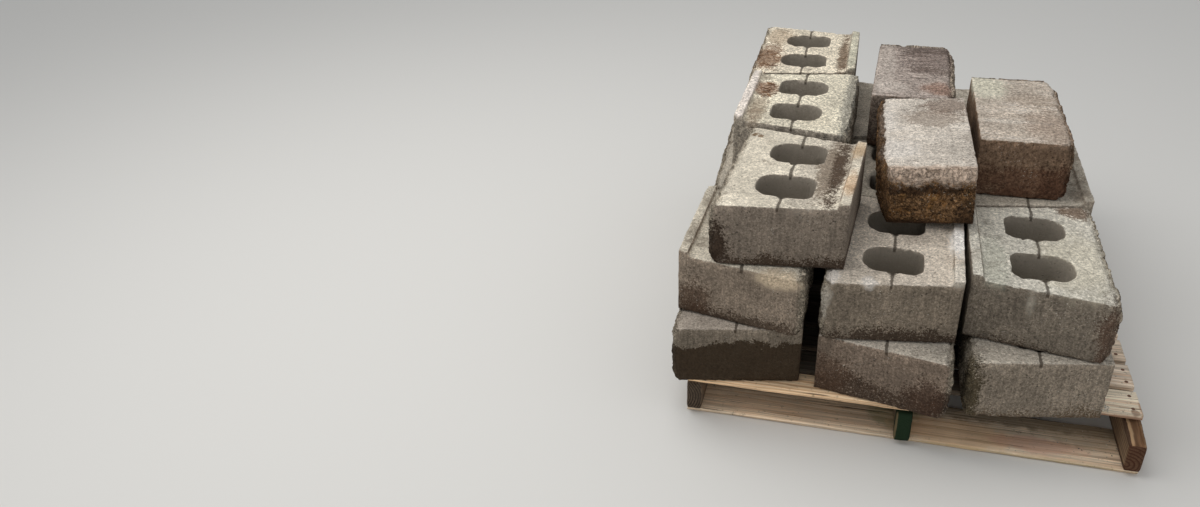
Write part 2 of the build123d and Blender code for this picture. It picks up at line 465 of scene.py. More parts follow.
def drop_stray_faces(mesh):
    """Splits a mesh into triangles and removes those back to back, which thinning can leave."""
    form = bmesh.new()
    form.from_mesh(mesh)
    bmesh.ops.triangulate(form, faces=form.faces[:])
    on_points = {}
    for face in form.faces:
        on_points.setdefault(frozenset(vertex.index for vertex in face.verts), []).append(face)
    stray = [face for faces in on_points.values() if len(faces) > 1 for face in faces]
    bmesh.ops.delete(form, geom=stray, context="FACES")
    form.to_mesh(mesh)
    form.free()


def new_object(name, mesh):
    made = bpy.data.objects.new(name, mesh)
    bpy.context.scene.collection.objects.link(made)
    return made


def build_piece(
    node, shaping, material, sizes, turn=0.0, lean=0.0, grid=fine_grid, keep=kept_share
):
    """Rebuilds a node on a fine grid, weathers it and stands it where the node is.

    Sizes gives the shaping's inputs from half the piece's own size. Returns the place of the
    piece's own axes.
    """
    mesh, place, half = lying_copy(node, turn, lean)
    draft = new_object("draft", mesh)
    remesh = draft.modifiers.new("grid", "REMESH")
    remesh.mode = "VOXEL"
    remesh.voxel_size = grid
    remesh.use_smooth_shade = True
    ease = draft.modifiers.new("ease", "SMOOTH")
    ease.factor = 0.5
    ease.iterations = 2
    weather = draft.modifiers.new("weather", "NODES")
    weather.node_group = shaping
    set_inputs(weather, {"Material": material, **sizes(half)})
    thin = draft.modifiers.new("thin", "DECIMATE")
    thin.ratio = keep
    finished = evaluated_mesh(draft)
    drop_stray_faces(finished)
    finished.transform(place)
    piece = new_object("weathered_" + node, finished)
    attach(piece, "root")
    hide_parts(node)
    slot_of(node)
    return place


def slot_of(node):
    slots = {"deck": "deck_wood", "bottom": "bottom_wood", "corner": "corner_concrete"}
    kind = node.split("_")[0]
    return node if kind == "stringer" else slots.get(kind, "block_concrete")


def set_out(name, mesh, group, material, values, slot):
    """Makes a piece of the things that a group sets out on a mesh."""
    draft = new_object("draft", mesh)
    modifier = draft.modifiers.new("set_out", "NODES")
    modifier.node_group = group
    set_inputs(modifier, {"Material": material, **values})
    piece = new_object(name, evaluated_mesh(draft))
    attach(piece, "root")


# Finishes


def tone(red, green, blue):
    """A screen tone as the linear colour that a shader takes."""
    linear = []
    for value in (red, green, blue):
        share = value / 255
        linear.append(share / 12.92 if share <= 0.04045 else ((share + 0.055) / 1.055) ** 2.4)
    return (*linear, 1.0)


def new_material(name):
    material = bpy.data.materials.new(name)
    material.use_nodes = True
    tree = material.node_tree
    return material, tree, tree.nodes["Principled BSDF"]


def stored(tree, *names):
    """Numbers that the shaping kept on the mesh."""
    return [add(tree, "ShaderNodeAttribute", attribute_name=name).outputs["Fac"] for name in names]


def stored_place(tree):
    """Where a point lay on the piece before it was weathered."""
    return add(tree, "ShaderNodeAttribute", attribute_name="place").outputs["Vector"]


def finish_material(shader, colour, height, strength, distance):
    """Every material ends in its colour and a fine bump."""
    inputs = {"Strength": strength, "Distance": distance, "Height": height}
    bump = joined("ShaderNodeBump", inputs).outputs[0]
    links = shader.id_data.links
    links.new(colour, shader.inputs["Base Color"])
    links.new(bump, shader.inputs["Normal"])


def blend_tone(share, first, second):
    """First colour where share is 0, second where it is 1."""
    inputs = {0: share, 6: first, 7: second}
    return joined("ShaderNodeMix", inputs, data_type="RGBA", clamp_factor=True).outputs[2]


def patch_mask(place, warp, centre, radius, amount):
    """Blotch with a ragged outline round a point of the block; radius is one per axis."""
    stretch = Vector(1 / size for size in radius)
    away = vectors("MULTIPLY", vectors("SUBTRACT", place, Vector(centre)), stretch)
    ragged = plus(vectors("LENGTH", away), warp)
    return times(eased(ragged, 1.2, 0.7), amount)


def concrete(
    name,
    top,
    side,
    foot=0.03,
    foot_tone=(58, 46, 36),
    split=(150, 139, 122),
    grime=0.3,
    seed=0.0,
    patches=(),
    blooms=(),
    grooved=True,
    streaks=None,
    dots=0.22,
    speckle=0.22,
):
    """Dry-cast concrete: sandy grains, drag marks down its sides, a damp foot and dirt on top.

    Foot is the damp part's height. Each patch is its centre and radii on the block, its tone and
    how strongly it covers. Each bloom of rust or moss on the split face is its tone, scale, share
    and how strongly it covers. Streaks give the tone and strength of smears across the top. Dots
    tells how sharp the foot's upper limit is: it breaks into dots where this is low. Speckle is
    the strength of the coarser flecks.
    """
    material, tree, shader = new_material(name)
    place = stored_place(tree)
    is_top, is_split, is_edge, is_hollow = stored(tree, "top", "split", "edge", "hollow")
    x, _, z = parts_of(place)
    spot = vectors("ADD", place, Vector((seed, seed * 1.7, seed * 0.6)))
    is_side = minus(1.0, maths("MAXIMUM", is_top, is_split))

    clouds = noise(spot, 9, 3)
    mottle = noise(spot, 48, 3, 0.6)
    pepper = noise(spot, 210, 4, 0.85)
    grains = noise(spot, 230, 3, 0.65)
    sand = noise(spot, 520, 2, 0.7)
    drag = drawn_noise(spot, (150, 150, 10), 3, 0.7)
    pits = cells(spot, 95)

    colour = blend_tone(is_top, tone(*side), tone(*top))
    colour = blend_tone(is_split, colour, tone(*split))
    colour = scaled(colour, between(eased(clouds, 0.25, 0.75), 0.84, 1.15))
    colour = scaled(colour, between(eased(mottle, 0.25, 0.75), 0.86, 1.13))
    grain_shade = between(eased(pepper, 0.30, 0.70), 0.58, 1.42)
    colour = scaled(colour, grain_shade)
    colour = scaled(colour, plus(1.0, times(is_side, swing(drag, 1.1))))
    top_band = times(is_side, eased(plus(z, swing(mottle, 0.03)), 0.128, 0.150))
    colour = scaled(colour, between(top_band, 1.0, 1.22))

    # Stone grains, larger and stronger on the split face
    dark_grain = times(eased(grains, 0.56, 0.67), between(is_split, 0.4, 0.9))
    colour = blend_tone(dark_grain, colour, scaled(colour, 0.32))
    pale_grain = times(eased(grains, 0.44, 0.33), between(is_split, 0.35, 0.9))
    colour = blend_tone(pale_grain, colour, scaled(colour, between(is_split, 1.6, 2.3)))
    pit = times(eased(pits, 0.26, 0.12), eased(mottle, 0.46, 0.56), 0.75)
    colour = blend_tone(pit, colour, scaled(colour, 0.35))

    for bloom_tone, scale, share, amount in blooms:
        level = noise(vectors("ADD", spot, Vector((scale, 0, 0))), scale, 4, 0.7)
        mask = times(eased(level, 1 - share, 1.07 - share), is_split, amount)
        colour = blend_tone(mask, colour, tone(*bloom_tone))

    # Damp, dirty foot, dotted along its upper limit
    foot_top = plus(foot, swing(clouds, 0.09), swing(mottle, 0.05))
    wetness = maths("DIVIDE", minus(foot_top, z), 0.028)
    wetness = maths("MINIMUM", maths("MAXIMUM", wetness, -1.0), 1.0)
    dotted = plus(noise(spot, 250, 3, 0.75), times(wetness, dots))
    is_foot = times(eased(dotted, 0.53, 0.62), minus(1.0, is_top), 0.9)
    foot_colour = scaled(tone(*foot_tone)[:3], between(grain_shade, 0.4, 1.5))
    colour = blend_tone(is_foot, colour, foot_colour)

    # Dirt in low spots of the top, most of it along the foot of the raised lip
    beside_lip = eased(x, lip_edge - 0.055, lip_edge)
    dirt_level = plus(noise(spot, 16, 5, 0.65), times(beside_lip, 0.12))
    dirt = times(eased(dirt_level, 0.56, 0.70), is_top)
    colour = blend_tone(times(dirt, grime), colour, tone(92, 76, 60))
    if streaks:
        smears = drawn_noise(spot, (9, 75, 9), 4, 0.7)
        smeared = times(eased(smears, 0.48, 0.62), eased(clouds, 0.36, 0.6), is_top)
        colour = blend_tone(times(smeared, streaks[1]), colour, tone(*streaks[0]))

    warp = plus(swing(noise(spot, 30, 5, 0.65), 1.6), swing(pepper, 2.4))
    for centre, radius, patch_tone, amount in patches:
        mask = patch_mask(place, warp, centre, radius, amount)
        colour = blend_tone(mask, colour, scaled(tone(*patch_tone)[:3], grain_shade))

    # A few bright specks, coarser flecks over everything, and dark creases in the split face
    specks = times(eased(noise(spot, 300, 1), 0.68, 0.74), eased(clouds, 0.42, 0.6), 0.6)
    is_dry = times(minus(1.0, is_hollow), minus(1.0, is_foot))
    colour = blend_tone(times(specks, is_dry), colour, tone(204, 196, 182))
    flecks = eased(noise(spot, 120, 4, 0.8), 0.34, 0.66)
    colour = scaled(colour, between(flecks, 1 - speckle, 1 + speckle))
    crack = maths("ABSOLUTE", swing(noise(spot, 55, 5, 0.7), 2.0))
    creases = times(eased(crack, 0.11, 0.02), is_split, 0.75)
    colour = blend_tone(creases, colour, scaled(colour, 0.28))

    colour = blend_tone(times(is_hollow, 0.75), colour, tone(158, 149, 135))
    if grooved:
        width = plus(maths("ABSOLUTE", x), swing(mottle, 0.005))
        in_groove = times(eased(width, 0.0046, 0.0018), eased(z, 0.136, 0.142))
        colour = blend_tone(times(in_groove, 0.8), colour, tone(58, 48, 38))
    colour = scaled(colour, between(times(is_edge, is_top), 1.0, 1.12))

    damp = maths("MAXIMUM", is_foot, times(dirt, grime))
    height = plus(
        times(sand, 0.5),
        times(pepper, 1.2),
        times(grains, between(is_split, 0.8, 2.2)),
        times(drag, is_side, 0.6),
        times(pit, -1.5),
    )
    finish_material(shader, colour, height, 0.8, 0.0024)
    tree.links.new(between(damp, 0.93, 0.72), shader.inputs["Roughness"])
    shader.inputs["Specular IOR Level"].default_value = 0.12
    return material


def timber(
    name,
    pale,
    dark,
    weather,
    greyed=0.3,
    pith=(0.03, -0.09),
    seed=0.0,
    covered=None,
    end_shade=0.8,
    patches=(),
    ring_gap=0.0062,
    torn_tone=(198, 150, 104),
):
    """Sawn softwood: growth rings round a pith beside the board, fibres, cracks and greying.

    Pith is where the rings' middle lies across and below the board, and ring gap their spacing.
    Greyed is how far the weather tone takes over. Covered gives where along the board the load
    lies, from and to; there the board is darkened with painted shade and dirt. End shade is the
    end grain's brightness.
    """
    material, tree, shader = new_material(name)
    place = stored_place(tree)
    is_edge, is_torn, is_end = stored(tree, "edge", "torn", "end")
    x, y, z = parts_of(place)
    spot = vectors("ADD", place, Vector((seed, seed * 1.3, seed * 0.4)))

    wander = swing(drawn_noise(spot, (2.4, 9, 9), 2), 0.028)
    across = plus(minus(y, pith[0]), wander)
    up = minus(z, pith[1])
    ring_radius = maths("SQRT", plus(times(across, across), times(up, up)))
    rings = maths("FRACT", times(ring_radius, 1 / ring_gap))
    late_wood = times(eased(rings, 0.35, 0.85), eased(rings, 1.0, 0.93))
    fibres = drawn_noise(spot, (5, 240, 240), 3, 0.65)
    streaks = drawn_noise(spot, (2, 42, 42), 3, 0.6)
    clouds = noise(spot, 7, 4, 0.6)

    colour = blend_tone(times(late_wood, between(is_end, 0.6, 1.0)), tone(*pale), tone(*dark))
    colour = scaled(colour, between(eased(fibres, 0.30, 0.70), 0.62, 1.32))
    colour = scaled(colour, between(eased(streaks, 0.25, 0.75), 0.78, 1.16))
    grey = eased(plus(clouds, times(streaks, 0.4)), 0.55, 0.8)
    colour = blend_tone(times(grey, greyed), colour, tone(*weather))
    cracks = eased(drawn_noise(spot, (3.5, 130, 130), 2), 0.66, 0.72)
    colour = blend_tone(times(cracks, 0.8), colour, tone(62, 42, 26))
    grit = eased(noise(spot, 70, 4, 0.7), 0.58, 0.70)
    colour = blend_tone(times(grit, 0.5), colour, tone(74, 60, 46))
    torn_colour = scaled(tone(*torn_tone)[:3], between(eased(streaks, 0.35, 0.65), 0.35, 1.3))
    colour = blend_tone(times(is_torn, 0.9), colour, torn_colour)
    colour = scaled(colour, between(is_end, 1.0, end_shade))
    warp = swing(noise(spot, 26, 5, 0.65), 1.2)
    for centre, radius, patch_tone, amount in patches:
        mask = patch_mask(place, warp, centre, radius, amount)
        colour = blend_tone(mask, colour, tone(*patch_tone))
    # Painted shade and dirt where the load covers the board, darker between its start and end
    if covered:
        start, end, blur = *covered, 0.012
        limit = plus(x, swing(clouds, 0.06))
        shade_and_dirt_under_load = times(eased(limit, end + blur, end - blur), 0.88)
        shade_and_dirt_under_load = times(shade_and_dirt_under_load, eased(limit, start - blur, start + blur))
        colour = blend_tone(shade_and_dirt_under_load, colour, tone(40, 32, 25))
    colour = scaled(colour, between(is_edge, 1.0, 0.92))

    height = plus(fibres, times(late_wood, 0.35), times(cracks, -1.5))
    finish_material(shader, colour, height, 0.7, 0.0014)
    shader.inputs["Roughness"].default_value = 0.82
    shader.inputs["Specular IOR Level"].default_value = 0.15
    return material


def shaded(name, first, second, roughness, metallic=0.0):
    """Small loose things whose tone runs from the first to the second, each with its own shade."""
    material, tree, shader = new_material(name)
    (shade,) = stored(tree, "shade")
    place = add(tree, "ShaderNodeTexCoord").outputs["Object"]
    fine = noise(place, 600, 3, 0.7)
    colour = blend_tone(shade, tone(*first), tone(*second))
    colour = scaled(colour, between(eased(fine, 0.25, 0.75), 0.6, 1.3))
    finish_material(shader, colour, fine, 0.6, 0.0006)
    shader.inputs["Roughness"].default_value = roughness
    shader.inputs["Metallic"].default_value = metallic
    return material


# The load: which way the split face points on the front, middle and back block of each column,
# in degrees from -X, and the blocks' finishes

left, right = 0.0, 180.0
column_turns = {
    "base_left": (left + 1.8, right, left),
    "base_centre": (right - 1.0, left, right),
    "base_right": (left + 0.8, right, left),
    "middle_left": (right - 1.6, left + 2.0, right),
    "middle_centre": (left - 1.6, right, left),
    "middle_right": (right, left, right),
    "top_left": (left - 3.9, right - 1.4, left),
}
block_turns = {
    f"{column}_{row}": turn
    for column, turns in column_turns.items()
    for row, turn in zip(("front", "middle", "back"), turns)
}
corner_turns = {"corner_front": left + 1.4, "corner_right": right, "corner_back": right - 1.7}
corner_lean = 4.28
covered_blocks = ("base_centre_middle", "base_centre_back", "middle_centre_middle")

# How deep the split face is broken
split_depth = 0.012
split_depths = {"corner_front": 0.015}

# How wide and how deep the split flaked the faces beside it
usual_flakes = (0.030, 0.006)
flake_sizes = {
    "corner_front": (0.026, 0.012),
    "corner_back": (0.036, 0.014),
    "corner_right": (0.022, 0.010),
    "top_left_middle": (0.040, 0.005),
}

whitish = (222, 214, 204)
lip_top = 0.164
lip_middle = block_depth / 2 - lip_width / 2


def on_top(x, y, half_x, half_y, patch_tone, amount, reach=0.03):
    """Patch on a block's top; reach is how far it runs over the edge and down."""
    return (x, y, block_height), (half_x, half_y, reach), patch_tone, amount


def on_lip(y, half_x, half_y, patch_tone, amount, reach=0.02):
    """Patch on the raised lip of a wall block."""
    return (lip_middle, y, lip_top), (half_x, half_y, reach), patch_tone, amount


def load_finishes():
    """One finish for each block that has its own look, and three for the rest."""
    buff = (194, 184, 166)
    taupe = (182, 172, 157)
    made = {}
    made["top_left_front"] = concrete(
        "cream_block", (216, 205, 185), (128, 116, 103), 0.036, (48, 36, 26),
        grime=0.45, seed=1.1, dots=0.18, speckle=0.12,
        patches=[
            on_top(-0.127, 0.179, 0.012, 0.014, (110, 84, 56), 0.85, 0.02),
            on_top(-0.108, 0.168, 0.008, 0.009, (120, 94, 66), 0.8, 0.02),
            on_top(0.060, 0.000, 0.055, 0.24, (166, 155, 141), 0.55),
            on_top(0.088, 0.010, 0.034, 0.17, (112, 94, 76), 0.7),
            on_top(0.104, 0.020, 0.018, 0.17, (64, 46, 32), 0.8),
            on_lip(-0.06, 0.02, 0.06, (202, 158, 112), 0.5),
            on_lip(0.12, 0.02, 0.05, (198, 164, 122), 0.5),
            ((-0.138, -block_width / 2, 0.046), (0.038, 0.03, 0.060), (50, 36, 25), 0.9),
        ],
    )
    made["top_left_middle"] = concrete(
        "beige_block", (214, 204, 182), (150, 140, 126), 0.02,
        grime=0.5, seed=2.3, speckle=0.42,
        patches=[
            on_top(0.098, -0.060, 0.036, 0.06, (126, 86, 60), 0.75),
            on_top(0.100, 0.090, 0.024, 0.12, (142, 122, 100), 0.6),
            on_lip(0.0, 0.016, 0.26, (226, 214, 204), 0.8, 0.012),
            on_top(-0.05, 0.12, 0.05, 0.06, (214, 202, 178), 0.4),
            on_top(-0.140, 0.0, 0.028, 0.30, (160, 154, 140), 0.85, 0.02),
        ],
    )
    made["top_left_back"] = concrete(
        "dun_block", (226, 213, 190), (132, 122, 108),
        grime=0.6, seed=3.7, speckle=0.42,
        patches=[
            on_top(-0.112, -0.080, 0.055, 0.12, (118, 82, 54), 0.8),
            on_top(-0.090, 0.120, 0.05, 0.08, (150, 122, 92), 0.5),
            on_top(0.112, -0.03, 0.016, 0.18, (100, 76, 54), 0.8),
            on_lip(0.0, 0.016, 0.26, (196, 194, 172), 0.6, 0.012),
        ],
    )
    made["middle_left_front"] = concrete(
        "scuffed_block", buff, (134, 120, 105), grime=0.4, seed=4.9,
        patches=[
            ((-0.089, 0.217, 0.140), (0.06, 0.04, 0.026), (206, 186, 158), 0.8),
            ((0.120, 0.200, 0.04), (0.05, 0.05, 0.05), (76, 56, 42), 0.7),
        ],
    )
    made["middle_centre_front"] = concrete(
        "grey_block", (204, 191, 174), (127, 115, 100), 0.036, (50, 38, 29),
        grime=0.2, seed=5.3, dots=0.18,
        patches=[
            on_top(-0.132, -0.189, 0.022, 0.035, whitish, 0.75, 0.02),
            on_top(-0.047, -0.197, 0.018, 0.022, whitish, 0.7, 0.02),
            on_lip(0.009, 0.022, 0.075, (232, 226, 218), 0.9),
            on_lip(-0.15, 0.022, 0.06, (206, 198, 184), 0.6),
            ((-0.146, -0.224, 0.104), (0.022, 0.02, 0.04), (196, 188, 174), 0.55),
        ],
    )
    made["middle_right_front"] = concrete(
        "mossy_block", (204, 197, 182), (119, 109, 96), 0.012,
        grime=0.35, seed=6.1, speckle=0.26,
        patches=[
            on_top(-0.105, -0.191, 0.040, 0.040, (104, 76, 52), 0.8, 0.02),
            on_top(-0.070, 0.06, 0.08, 0.14, (206, 196, 172), 0.45),
            ((0.030, 0.22, 0.120), (0.012, 0.03, 0.05), (186, 178, 162), 0.6),
            ((-0.136, 0.199, 0.063), (0.035, 0.05, 0.09), (82, 56, 42), 0.7),
            on_top(0.100, 0.10, 0.03, 0.14, (158, 158, 142), 0.5),
        ],
    )
    made["base_left_front"] = concrete(
        "wet_block", (168, 156, 142), (122, 111, 97), 0.112, (40, 28, 14),
        seed=7.7, dots=0.6, speckle=0.10,
    )
    made["base_centre_front"] = concrete(
        "muddy_block", taupe, (123, 108, 94), 0.062, (50, 37, 27),
        seed=8.9, dots=0.15,
        patches=[
            ((-0.104, 0.221, 0.050), (0.06, 0.03, 0.05), (70, 50, 38), 0.7),
            ((0.120, 0.190, 0.050), (0.05, 0.06, 0.06), (78, 58, 44), 0.7),
        ],
    )
    made["base_right_front"] = concrete(
        "plain_block", taupe, (138, 126, 111), 0.022, (76, 62, 46),
        seed=9.4, dots=0.13,
        patches=[((-0.146, -0.214, 0.067), (0.036, 0.05, 0.09), (66, 56, 36), 0.85)],
    )
    made["corner_front"] = concrete(
        "rusty_corner", (202, 191, 177), (128, 110, 92), 0.02, (60, 42, 28), (128, 98, 68),
        seed=10.2, grooved=False, streaks=(whitish, 0.35), speckle=0.30,
        patches=[
            ((0.0, -0.228, 0.098), (0.16, 0.030, 0.014), (54, 38, 27), 0.75),
            ((0.100, -0.228, 0.030), (0.030, 0.030, 0.050), (62, 44, 32), 0.6),
            ((0.02, -0.230, 0.150), (0.40, 0.030, 0.040), (210, 188, 168), 0.85),
            on_top(0.030, 0.090, 0.075, 0.07, (150, 134, 118), 0.6),
            on_top(0.069, 0.172, 0.060, 0.06, (128, 110, 96), 0.7),
            on_top(-0.073, -0.106, 0.06, 0.06, (226, 218, 208), 0.5),
            on_top(-0.100, 0.074, 0.04, 0.09, (220, 212, 202), 0.45),
            ((-0.114, 0.02, 0.140), (0.014, 0.26, 0.04), (96, 74, 54), 0.75),
        ],
        blooms=[
            ((150, 106, 58), 30, 0.45, 0.5),
            ((98, 86, 50), 38, 0.42, 0.45),
            ((52, 38, 26), 120, 0.46, 0.7),
        ],
    )
    made["corner_right"] = concrete(
        "taupe_corner", (186, 172, 156), (120, 98, 79), 0.03, (76, 54, 40), (124, 104, 84),
        grime=0.25, seed=11.8, grooved=False, streaks=(whitish, 0.4), speckle=0.38,
        patches=[
            on_top(0.03, 0.102, 0.09, 0.014, (214, 204, 190), 0.45, 0.02),
            on_top(0.081, -0.146, 0.06, 0.10, (208, 204, 182), 0.65),
            on_top(-0.05, -0.05, 0.08, 0.05, (156, 138, 120), 0.45),
            on_top(-0.065, 0.130, 0.07, 0.11, (158, 136, 118), 0.5),
            ((-0.016, 0.228, 0.045), (0.16, 0.02, 0.04), (92, 62, 46), 0.6),
            ((-0.089, 0.228, 0.040), (0.05, 0.02, 0.05), (78, 52, 38), 0.6),
        ],
    )
    made["corner_back"] = concrete(
        "mauve_corner", (170, 156, 145), (120, 106, 94), 0.04, (76, 58, 46), (164, 150, 132),
        grime=0.35, seed=12.5, grooved=False, streaks=((84, 70, 62), 0.9), speckle=0.50,
        patches=[
            on_top(-0.045, -0.10, 0.10, 0.12, (108, 92, 84), 0.6, 0.02),
            on_top(-0.020, -0.170, 0.11, 0.035, (92, 78, 70), 0.6, 0.02),
            on_top(-0.050, 0.010, 0.08, 0.030, (100, 85, 76), 0.55, 0.02),
            on_top(0.088, 0.0, 0.032, 0.25, (192, 180, 168), 0.5, 0.02),
            ((-0.110, 0.20, 0.150), (0.012, 0.02, 0.03), (58, 44, 36), 0.9),
            on_top(-0.063, 0.150, 0.05, 0.05, (138, 98, 76), 0.55),
            on_top(0.07, 0.16, 0.05, 0.05, (196, 184, 172), 0.5),
        ],
    )
    rest = [
        concrete("yard_block_a", buff, taupe, grime=0.4, seed=13.1),
        concrete("yard_block_b", (176, 166, 150), (144, 133, 119), 0.035, grime=0.45, seed=14.6),
        concrete("yard_block_c", (188, 177, 160), (156, 146, 132), 0.02, grime=0.35, seed=15.9),
    ]
    return made, rest


def build_load():
    """Weathers every block; returns the place of each one's own axes."""
    shaping = weathered_concrete()
    own, rest = load_finishes()
    places = {}
    for i, node in enumerate([*block_turns, *corner_turns]):
        is_corner = node in corner_turns
        turn = corner_turns[node] if is_corner else block_turns[node]
        lean = -corner_lean if node == "corner_front" else 0.0
        flakes = flake_sizes.get(node, usual_flakes)
        fixed = {
            "Split Depth": split_depths.get(node, split_depth),
            "Shoulder Width": flakes[0],
            "Shoulder Depth": flakes[1],
            "Wear": 0.85,
            "Grooved": 0.0 if is_corner else 1.0,
            "Seed": i * 3.3,
        }

        def sizes(half, fixed=fixed, is_corner=is_corner):
            return fixed | {"Split X": -half.x, "Split Y": -half.y if is_corner else -far_away}

        fine, coarse = (fine_grid, kept_share), (coarse_grid, kept_share_coarse)
        grid, keep = coarse if node in covered_blocks else fine
        material = own.get(node, rest[i % len(rest)])
        places[node] = build_piece(node, shaping, material, sizes, turn, lean, grid, keep)
    return places


# The pallet

stringer_front = -0.6095
stringer_half_width = 0.019
load_right_edge = 0.400
torn_length = 0.09
fray = 0.03
deck_boards = [f"deck_{i:02d}" for i in range(1, 12)]


def pallet_finishes():
    # Span of the deck boards under the load, darkened there with painted shade and dirt
    shade_and_dirt_under_load = (-far_away, load_right_edge)
    grey_wood = (150, 140, 126)
    pinkish = timber(
        "deck_timber_pale", (246, 226, 202), (206, 168, 134), grey_wood, 0.3,
        seed=2.0, covered=shade_and_dirt_under_load,
    )
    greyish = timber(
        "deck_timber_grey", (228, 208, 184), (180, 152, 124), grey_wood, 0.5, (0.02, -0.06),
        seed=3.0, covered=shade_and_dirt_under_load,
    )
    made = {}
    made["deck_lead"] = timber(
        "lead_timber", (250, 216, 174), (196, 140, 90), grey_wood, 0.15, seed=1.0
    )
    made["deck_01"] = timber(
        "end_timber", (255, 238, 210), (240, 200, 164), grey_wood, 0.05,
        seed=2.7, covered=shade_and_dirt_under_load,
        patches=[
            ((0.492, -0.036, 0.016), (0.010, 0.010, 0.01), (112, 70, 46), 0.6),
            ((0.46, -0.045, 0.002), (0.08, 0.006, 0.006), (140, 88, 58), 0.7),
            ((0.508, -0.02, 0.008), (0.008, 0.03, 0.014), (156, 108, 76), 0.6),
        ],
    )
    green_end = [
        ((stringer_front, 0.0, 0.05), (0.045, 0.05, 0.09), (28, 44, 26), 1.0),
        ((stringer_front, stringer_half_width, 0.04), (0.012, 0.005, 0.06), (122, 104, 76), 0.7),
    ]
    made["stringer_left"] = timber(
        "runner_timber_dark", (128, 108, 88), (50, 37, 28), (96, 86, 74), 0.4, (0.05, 0.04), 5.0,
        end_shade=0.48,
    )
    made["stringer_middle"] = timber(
        "runner_timber_green", (128, 110, 88), (92, 72, 54), (104, 94, 78), 0.5, (0.05, -0.05), 5.6,
        end_shade=1.0, patches=green_end,
    )
    made["stringer_right"] = timber(
        "runner_timber_brown", (146, 118, 90), (62, 38, 26), (124, 110, 92), 0.35,
        (0.014, 0.020), 6.0, end_shade=0.52, ring_gap=0.0085, torn_tone=(160, 118, 84),
        patches=[
            ((stringer_front + 0.05, 0.010, 0.082), (0.06, 0.006, 0.01), (198, 168, 130), 0.5),
            ((stringer_front + 0.02, 0.020, 0.080), (0.20, 0.006, 0.012), (66, 46, 34), 0.8),
            ((stringer_front + 0.02, 0.020, 0.004), (0.20, 0.006, 0.012), (66, 46, 34), 0.8),
            ((stringer_front, 0.0, 0.04), (0.008, 0.04, 0.08), (80, 46, 30), 0.6),
        ],
    )
    made["bottom_front"] = timber(
        "bottom_timber", (248, 222, 190), (196, 158, 122), (196, 184, 164), 0.4,
        (-0.03, -0.07), 4.0,
        patches=[
            ((-0.02, 0.02, 0.014), (0.06, 0.07, 0.02), (120, 128, 92), 0.5),
            ((0.12, -0.03, 0.014), (0.14, 0.05, 0.02), (240, 196, 148), 0.5),
            ((0.30, -0.03, 0.014), (0.10, 0.03, 0.02), (214, 158, 134), 0.45),
            # Painted shadow of the load along the back of the board, with some damp
            ((0.20, 0.072, 0.010), (0.50, 0.050, 0.02), (90, 78, 60), 0.6),
            ((0.40, 0.03, 0.014), (0.10, 0.05, 0.02), (158, 138, 110), 0.4),
            ((0.25, -0.07, 0.004), (0.30, 0.008, 0.008), (150, 136, 92), 0.4),
        ],
    )
    bottom = timber(
        "bottom_timber_grey", (222, 202, 174), (170, 144, 114), (170, 160, 144), 0.6,
        (-0.03, -0.07), 4.4,
    )
    return made, (pinkish, greyish), bottom


def build_pallet():
    """Weathers every board and runner; returns the place of each one's own axes."""
    shaping = weathered_timber()
    own, decks, bottom = pallet_finishes()
    names = ["deck_lead", *deck_boards, "bottom_front", "bottom_middle", "bottom_back"]
    runners = ["stringer_left", "stringer_middle", "stringer_right"]
    places = {}
    for i, node in enumerate(names + runners):
        fixed = {
            "Grain Depth": 0.0014,
            "Wear": 0.9,
            "Seed": i * 2.1,
            "Fray": fray if node == "deck_lead" else 0.0,
        }

        def sizes(half, fixed=fixed, node=node):
            broken = half.x if node == "deck_lead" else far_away
            torn = torn_length - half.x if node == "stringer_right" else -far_away
            return fixed | {"Broken End": broken, "Torn Length": torn}

        usual = bottom if node.startswith("bottom") else decks[i % 2]
        turn = 90.0 if node in runners else 0.0
        material = own.get(node, usual)
        places[node] = build_piece(node, shaping, material, sizes, turn, keep=kept_share_timber)
    return places


def rectangle(x, y, half_x, half_y, z):
    """Corners of a level patch of ground, anticlockwise from above."""
    ends = ((-half_x, -half_y), (half_x, -half_y), (half_x, half_y), (-half_x, half_y))
    return [(x + across, y + along, z) for across, along in ends]


def strew_litter(places):
    """Twigs on the back blocks, stone crumbs on the front bottom board and the first deck end."""
    twigs, crumbs = strewn("twigs", twig), strewn("crumbs", crumb)
    bark = shaded("dead_twigs", (84, 56, 36), (150, 112, 78), 0.85)
    stone = shaded("stone_crumbs", (70, 60, 48), (196, 186, 168), 0.9)
    chalk = shaded("pale_crumbs", (176, 166, 148), (246, 240, 228), 0.9)
    on_block, on_board, on_deck = block_height - 0.0008, 0.0132, 0.0152

    labels = ("Least Girth", "Most Girth", "Least Length", "Most Length", "Sunk")
    thin = (0.0012, 0.0024, 0.010, 0.032, 0.0)
    small = (0.0016, 0.005, 0.002, 0.007, 0.0004)
    dust = (0.0008, 0.0022, 0.001, 0.003, 0.0003)

    # Name, things, finish, what they lie on, their patch of it, their sizes, density and seed
    litter = [
        ("twigs_middle", twigs, bark, "top_left_middle",
         (0.098, -0.055, 0.024, 0.055, on_block), thin, 6500.0, 3.0),
        ("twigs_back", twigs, bark, "top_left_back",
         (-0.098, -0.100, 0.026, 0.070, on_block), thin, 3200.0, 8.0),
        ("crumbs_front", crumbs, stone, "bottom_front",
         (0.400, 0.01, 0.075, 0.055, on_board), small, 1200.0, 5.0),
        ("crumbs_fine", crumbs, stone, "bottom_front",
         (0.0, 0.0, 0.46, 0.06, on_board), dust, 1500.0, 6.0),
        ("crumbs_corner", crumbs, chalk, "deck_01",
         (0.428, -0.033, 0.012, 0.010, on_deck), small, 90000.0, 7.0),
    ]
    for name, things, material, node, patch, sizes, density, seed in litter:
        values = dict(zip(labels, sizes)) | {"Density": density, "Seed": seed}
        ground = bpy.data.meshes.new(name)
        corners = [places[node] @ Vector(corner) for corner in rectangle(*patch)]
        ground.from_pydata(corners, [], [(0, 1, 2, 3)])
        set_out(name, ground, things, material, values, slot_of(node))


